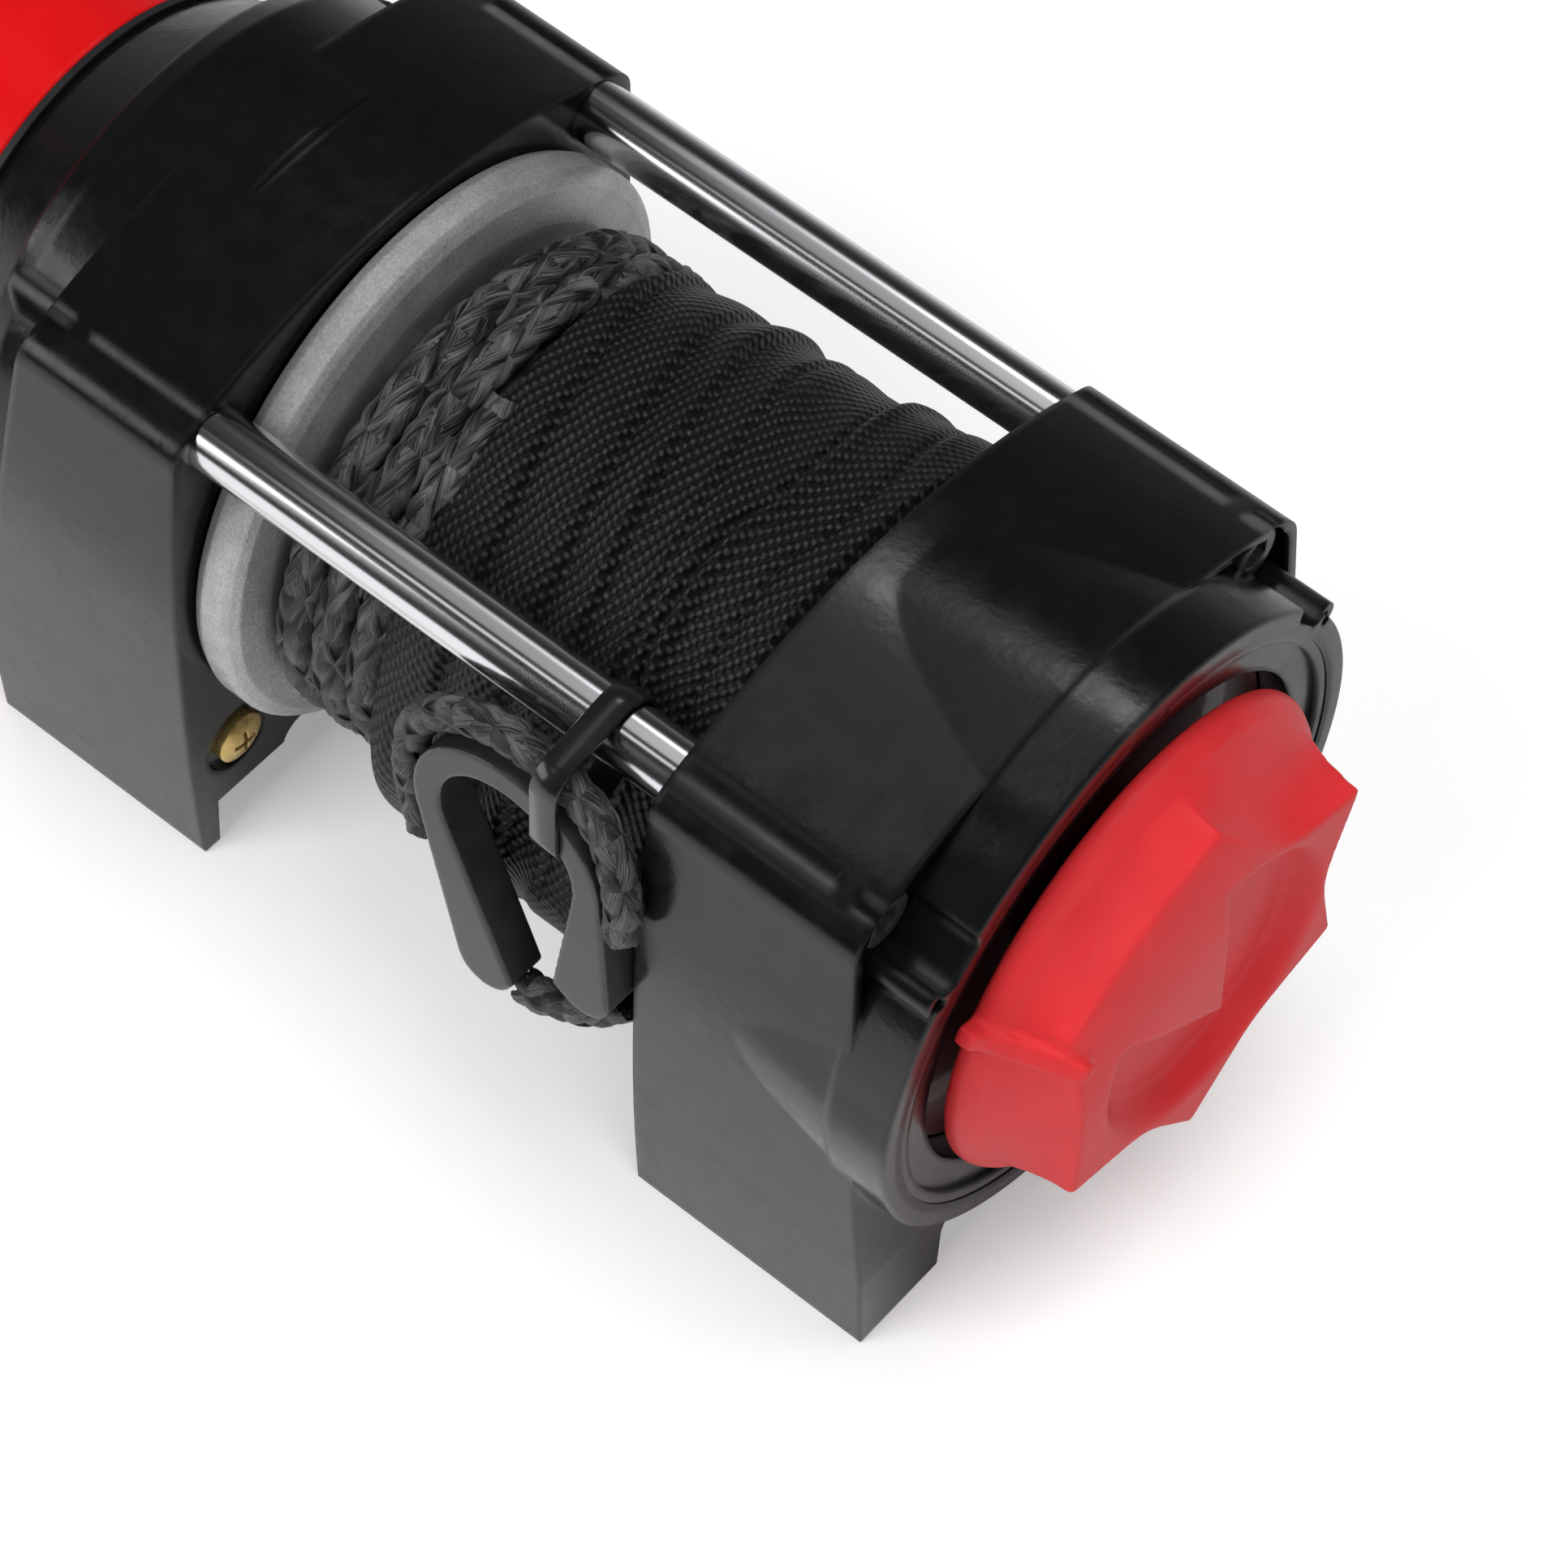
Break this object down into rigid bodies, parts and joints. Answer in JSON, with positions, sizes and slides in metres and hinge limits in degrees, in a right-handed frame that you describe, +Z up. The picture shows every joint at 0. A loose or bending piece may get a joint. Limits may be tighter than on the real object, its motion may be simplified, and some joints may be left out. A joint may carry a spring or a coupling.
{
  "type": "electric recovery winch",
  "caption": "Electric winch with a rope drum between two foot-mounted housings, planetary gearbox, clutch knob, round motor and rope with a thimble eye.",
  "frame": {"origin": "centre of the four foot bolts on the mounting plane", "axes": "+X along the drum axis towards the clutch knob, +Z up, the rope leaves towards -Y"},
  "size_m": [0.3425, 0.107, 0.118],
  "materials": {
    "housing": "gloss black powder coat over die-cast aluminium",
    "chrome": "polished chrome",
    "steel_dark": "blackened",
    "steel": "machined",
    "gold_screw": "yellow zinc",
    "cast_drum": "as cast, satin",
    "bronze": "sintered bronze",
    "rope": "braided synthetic fibre",
    "sleeve": "woven nylon sleeve",
    "thimble_black": "satin black",
    "strap_black": "smooth",
    "friction": "moulded friction material",
    "dark_red": "gloss",
    "knob_red": "soft satin moulding",
    "rubber_black": "matt",
    "motor_red": "gloss",
    "copper": "copper",
    "phenolic": "moulded"
  },
  "bodies": {
    "frame": {"motor_side_housing": "housing", "gearbox_housing": "housing", "tie_rods": "chrome", "tie_rod_bolts": "steel_dark", "foot_nuts": "steel", "ground_screw": "gold_screw", "drum_bushing_motor_side": "bronze", "drum_bushing_gear_side": "bronze", "rope_eye": "rope", "rope_tail": "rope", "thimble": "thimble_black", "retaining_strap": "strap_black", "ring_gear": "steel", "gearbox_end_cover": "housing", "cover_retaining_ring": "housing", "indicator_disc": "dark_red", "motor_seal": "rubber_black", "motor_can": "motor_red", "motor_end_cap": "motor_red", "motor_through_bolts": "steel", "motor_front_bearing": "steel", "motor_rear_bearing": "steel", "field_magnets": "steel_dark", "brush_holder": "phenolic", "brushes": "friction", "terminal_insulators": "rubber_black", "terminal_studs": "copper", "terminal_nuts": "steel"},
    "drum": {"drum": "cast_drum", "rope_pack": "rope", "rope_bare_turns": "rope", "rope_sleeve_turns": "sleeve", "rope_clamp_screw": "steel"},
    "rotor": {"motor_shaft": "steel", "armature_core": "steel_dark", "armature_windings": "copper", "commutator": "copper", "motor_coupler": "steel", "drive_shaft": "steel", "sun_gear": "steel", "brake_hub": "steel", "brake_shoes": "friction"},
    "carrier_1": {"carrier_1": "steel"},
    "carrier_2": {"carrier_2": "steel"},
    "carrier_3": {"carrier_3": "steel"},
    "planet_1a": {"planet_1a": "steel"},
    "planet_1b": {"planet_1b": "steel"},
    "planet_1c": {"planet_1c": "steel"},
    "planet_2a": {"planet_2a": "steel"},
    "planet_2b": {"planet_2b": "steel"},
    "planet_2c": {"planet_2c": "steel"},
    "planet_3a": {"planet_3a": "steel"},
    "planet_3b": {"planet_3b": "steel"},
    "planet_3c": {"planet_3c": "steel"},
    "knob": {"clutch_knob": "knob_red"},
    "plunger": {"clutch_plunger": "steel"}
  },
  "joints": [
    {"name": "motor_spin", "type": "hinge", "parent": "frame", "child": "rotor", "pos_m": [0, 0, 0.0615], "axis": [1, 0, 0], "continuous": true},
    {"name": "drum_spin", "type": "hinge", "parent": "frame", "child": "drum", "pos_m": [0, 0, 0.0615], "axis": [1, 0, 0], "continuous": true},
    {"name": "carrier_1_spin", "type": "hinge", "parent": "frame", "child": "carrier_1", "pos_m": [0, 0, 0.0615], "axis": [1, 0, 0], "continuous": true},
    {"name": "planet_1a_spin", "type": "hinge", "parent": "carrier_1", "child": "planet_1a", "pos_m": [0, 0.021, 0.0615], "axis": [1, 0, 0], "continuous": true},
    {"name": "planet_1b_spin", "type": "hinge", "parent": "carrier_1", "child": "planet_1b", "pos_m": [0, -0.0105, 0.07969], "axis": [1, 0, 0], "continuous": true},
    {"name": "planet_1c_spin", "type": "hinge", "parent": "carrier_1", "child": "planet_1c", "pos_m": [0, -0.0105, 0.04331], "axis": [1, 0, 0], "continuous": true},
    {"name": "carrier_2_spin", "type": "hinge", "parent": "frame", "child": "carrier_2", "pos_m": [0, 0, 0.0615], "axis": [1, 0, 0], "continuous": true},
    {"name": "planet_2a_spin", "type": "hinge", "parent": "carrier_2", "child": "planet_2a", "pos_m": [0, 0.021, 0.0615], "axis": [1, 0, 0], "continuous": true},
    {"name": "planet_2b_spin", "type": "hinge", "parent": "carrier_2", "child": "planet_2b", "pos_m": [0, -0.0105, 0.07969], "axis": [1, 0, 0], "continuous": true},
    {"name": "planet_2c_spin", "type": "hinge", "parent": "carrier_2", "child": "planet_2c", "pos_m": [0, -0.0105, 0.04331], "axis": [1, 0, 0], "continuous": true},
    {"name": "carrier_3_spin", "type": "hinge", "parent": "frame", "child": "carrier_3", "pos_m": [0, 0, 0.0615], "axis": [1, 0, 0], "continuous": true},
    {"name": "planet_3a_spin", "type": "hinge", "parent": "carrier_3", "child": "planet_3a", "pos_m": [0, 0.021, 0.0615], "axis": [1, 0, 0], "continuous": true},
    {"name": "planet_3b_spin", "type": "hinge", "parent": "carrier_3", "child": "planet_3b", "pos_m": [0, -0.0105, 0.07969], "axis": [1, 0, 0], "continuous": true},
    {"name": "planet_3c_spin", "type": "hinge", "parent": "carrier_3", "child": "planet_3c", "pos_m": [0, -0.0105, 0.04331], "axis": [1, 0, 0], "continuous": true},
    {"name": "knob_turn", "type": "hinge", "parent": "frame", "child": "knob", "pos_m": [0.09, 0, 0.0615], "axis": [1, 0, 0], "range_deg": [0, 90]},
    {"name": "plunger_slide", "type": "slide", "parent": "frame", "child": "plunger", "axis": [-1, 0, 0], "range_m": [0, 0.002]}
  ],
  "couplings": [
    {"joint": "drum_spin", "follows": "motor_spin", "ratio": 0.008},
    {"joint": "carrier_1_spin", "follows": "motor_spin", "ratio": 0.2},
    {"joint": "planet_1a_spin", "follows": "motor_spin", "ratio": -0.53333},
    {"joint": "planet_1b_spin", "follows": "motor_spin", "ratio": -0.53333},
    {"joint": "planet_1c_spin", "follows": "motor_spin", "ratio": -0.53333},
    {"joint": "carrier_2_spin", "follows": "motor_spin", "ratio": 0.04},
    {"joint": "planet_2a_spin", "follows": "motor_spin", "ratio": -0.10667},
    {"joint": "planet_2b_spin", "follows": "motor_spin", "ratio": -0.10667},
    {"joint": "planet_2c_spin", "follows": "motor_spin", "ratio": -0.10667},
    {"joint": "carrier_3_spin", "follows": "motor_spin", "ratio": 0.008},
    {"joint": "planet_3a_spin", "follows": "motor_spin", "ratio": -0.021333},
    {"joint": "planet_3b_spin", "follows": "motor_spin", "ratio": -0.021333},
    {"joint": "planet_3c_spin", "follows": "motor_spin", "ratio": -0.021333},
    {"joint": "plunger_slide", "follows": "knob_turn", "m_per_rad": 0.0012732}
  ]
}
